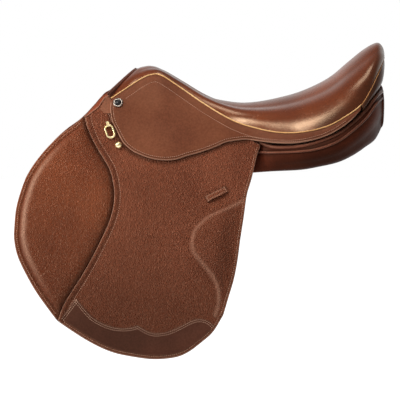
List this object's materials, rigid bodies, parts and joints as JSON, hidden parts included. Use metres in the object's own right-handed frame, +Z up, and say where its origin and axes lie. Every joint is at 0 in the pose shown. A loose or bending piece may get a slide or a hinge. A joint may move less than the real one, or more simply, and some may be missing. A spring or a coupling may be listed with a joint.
{
  "type": "jumping saddle",
  "caption": "English close-contact jumping saddle: padded seat on a tree, knee pads, flaps and skirts that lift, swinging girth straps and stirrup bars with tipping catches.",
  "frame": {"origin": "on the mid-plane at the height of the side plane's zero line, between the two panels under the seat", "axes": "+X to the rear (towards the cantle), +Y to the off (right) side, +Z up; the near side is -Y"},
  "size_m": [0.6023, 0.4118, 0.4993],
  "materials": {
    "smooth_leather": "smooth reddish brown, low sheen",
    "grained_leather": "pebble grain, mid brown",
    "dark_leather": "smooth, dark brown",
    "lining_leather": "smooth, satin dark brown",
    "tan_welt": "tan piping",
    "brass": "polished",
    "steel": "brushed",
    "polished_steel": "polished rim with a black domed centre",
    "wood": "laminated, bare",
    "foam": "open-cell foam",
    "webbing": "woven"
  },
  "bodies": {
    "saddle": {"seat_cover": "smooth_leather", "seat_foam": "foam", "seat_webbing": "webbing", "tree_frame": "wood", "tree_head": "steel", "cantle_welt": "dark_leather", "cantle_facing": "smooth_leather", "pommel_facing": "dark_leather", "welt_near": "tan_welt", "skirt_band_near": "smooth_leather", "flap_head_near": "grained_leather", "knee_pad_top_near": "grained_leather", "sweat_flap_near": "lining_leather", "girth_web_near": "webbing", "point_pocket_near": "lining_leather", "panel_near": "lining_leather", "stirrup_bar_near": "steel", "point_stud_near": "brass", "head_nail_near": "polished_steel", "ring_hanger_near": "brass", "welt_off": "tan_welt", "skirt_band_off": "smooth_leather", "flap_head_off": "grained_leather", "knee_pad_top_off": "grained_leather", "sweat_flap_off": "lining_leather", "girth_web_off": "webbing", "point_pocket_off": "lining_leather", "panel_off": "lining_leather", "stirrup_bar_off": "steel", "point_stud_off": "brass", "head_nail_off": "polished_steel", "ring_hanger_off": "brass"},
    "flap_near": {"flap_near": "grained_leather", "knee_pad_near": "grained_leather", "thigh_block_near": "grained_leather", "wear_patch_near": "dark_leather", "keeper_near": "smooth_leather"},
    "skirt_near": {"skirt_near": "smooth_leather"},
    "girth_strap_front_near": {"girth_strap_front_near": "lining_leather"},
    "girth_strap_middle_near": {"girth_strap_middle_near": "lining_leather"},
    "girth_strap_rear_near": {"girth_strap_rear_near": "lining_leather"},
    "buckle_guard_near": {"buckle_guard_near": "lining_leather"},
    "ring_near": {"ring_near": "brass"},
    "bar_catch_near": {"bar_catch_near": "steel"},
    "flap_off": {"flap_off": "grained_leather", "knee_pad_off": "grained_leather", "thigh_block_off": "grained_leather", "wear_patch_off": "dark_leather", "keeper_off": "smooth_leather"},
    "skirt_off": {"skirt_off": "smooth_leather"},
    "girth_strap_front_off": {"girth_strap_front_off": "lining_leather"},
    "girth_strap_middle_off": {"girth_strap_middle_off": "lining_leather"},
    "girth_strap_rear_off": {"girth_strap_rear_off": "lining_leather"},
    "buckle_guard_off": {"buckle_guard_off": "lining_leather"},
    "ring_off": {"ring_off": "brass"},
    "bar_catch_off": {"bar_catch_off": "steel"}
  },
  "joints": [
    {"name": "flap_lift_near", "type": "hinge", "parent": "saddle", "child": "flap_near", "pos_m": [0, -0.11726, 0.01742], "axis": [-1, 0, 0], "range_deg": [0, 80]},
    {"name": "skirt_lift_near", "type": "hinge", "parent": "saddle", "child": "skirt_near", "pos_m": [-0.195, -0.08267, 0.10187], "axis": [-0.9777, 0.0648, 0.1996], "range_deg": [0, 60]},
    {"name": "girth_strap_front_swing_near", "type": "hinge", "parent": "saddle", "child": "girth_strap_front_near", "pos_m": [-0.128, -0.10223, -0.00008], "axis": [0, -0.9511, 0.309], "range_deg": [-5, 5]},
    {"name": "girth_strap_middle_swing_near", "type": "hinge", "parent": "saddle", "child": "girth_strap_middle_near", "pos_m": [-0.092, -0.10223, -0.00008], "axis": [0, -0.9511, 0.309], "range_deg": [-5, 5]},
    {"name": "girth_strap_rear_swing_near", "type": "hinge", "parent": "saddle", "child": "girth_strap_rear_near", "pos_m": [-0.056, -0.10223, -0.00008], "axis": [0, -0.9511, 0.309], "range_deg": [-5, 5]},
    {"name": "buckle_guard_slide_near", "type": "slide", "parent": "girth_strap_front_near", "child": "buckle_guard_near", "axis": [0, -0.309, -0.9511], "range_m": [0, 0.12]},
    {"name": "ring_swing_near", "type": "hinge", "parent": "saddle", "child": "ring_near", "pos_m": [-0.19806, -0.09052, 0.07706], "axis": [-0.9659, -0.08, -0.2462], "range_deg": [0, 80]},
    {"name": "bar_catch_tip_near", "type": "hinge", "parent": "saddle", "child": "bar_catch_near", "pos_m": [-0.089, -0.06631, 0.09234], "axis": [0, -0.9511, 0.309], "range_deg": [0, 75]},
    {"name": "flap_lift_off", "type": "hinge", "parent": "saddle", "child": "flap_off", "pos_m": [0, 0.11726, 0.01742], "axis": [1, 0, 0], "range_deg": [0, 80]},
    {"name": "skirt_lift_off", "type": "hinge", "parent": "saddle", "child": "skirt_off", "pos_m": [-0.195, 0.08267, 0.10187], "axis": [0.9777, 0.0648, -0.1996], "range_deg": [0, 60]},
    {"name": "girth_strap_front_swing_off", "type": "hinge", "parent": "saddle", "child": "girth_strap_front_off", "pos_m": [-0.128, 0.10223, -0.00008], "axis": [0, 0.9511, 0.309], "range_deg": [-5, 5]},
    {"name": "girth_strap_middle_swing_off", "type": "hinge", "parent": "saddle", "child": "girth_strap_middle_off", "pos_m": [-0.092, 0.10223, -0.00008], "axis": [0, 0.9511, 0.309], "range_deg": [-5, 5]},
    {"name": "girth_strap_rear_swing_off", "type": "hinge", "parent": "saddle", "child": "girth_strap_rear_off", "pos_m": [-0.056, 0.10223, -0.00008], "axis": [0, 0.9511, 0.309], "range_deg": [-5, 5]},
    {"name": "buckle_guard_slide_off", "type": "slide", "parent": "girth_strap_front_off", "child": "buckle_guard_off", "axis": [0, 0.309, -0.9511], "range_m": [0, 0.12]},
    {"name": "ring_swing_off", "type": "hinge", "parent": "saddle", "child": "ring_off", "pos_m": [-0.19806, 0.09052, 0.07706], "axis": [0.9659, -0.08, 0.2462], "range_deg": [0, 80]},
    {"name": "bar_catch_tip_off", "type": "hinge", "parent": "saddle", "child": "bar_catch_off", "pos_m": [-0.089, 0.06631, 0.09234], "axis": [0, -0.9511, -0.309], "range_deg": [0, 75]}
  ],
  "couplings": [
    {"joint": "girth_strap_middle_swing_near", "follows": "girth_strap_front_swing_near", "ratio": 1},
    {"joint": "girth_strap_rear_swing_near", "follows": "girth_strap_front_swing_near", "ratio": 1},
    {"joint": "girth_strap_middle_swing_off", "follows": "girth_strap_front_swing_off", "ratio": 1},
    {"joint": "girth_strap_rear_swing_off", "follows": "girth_strap_front_swing_off", "ratio": 1}
  ]
}
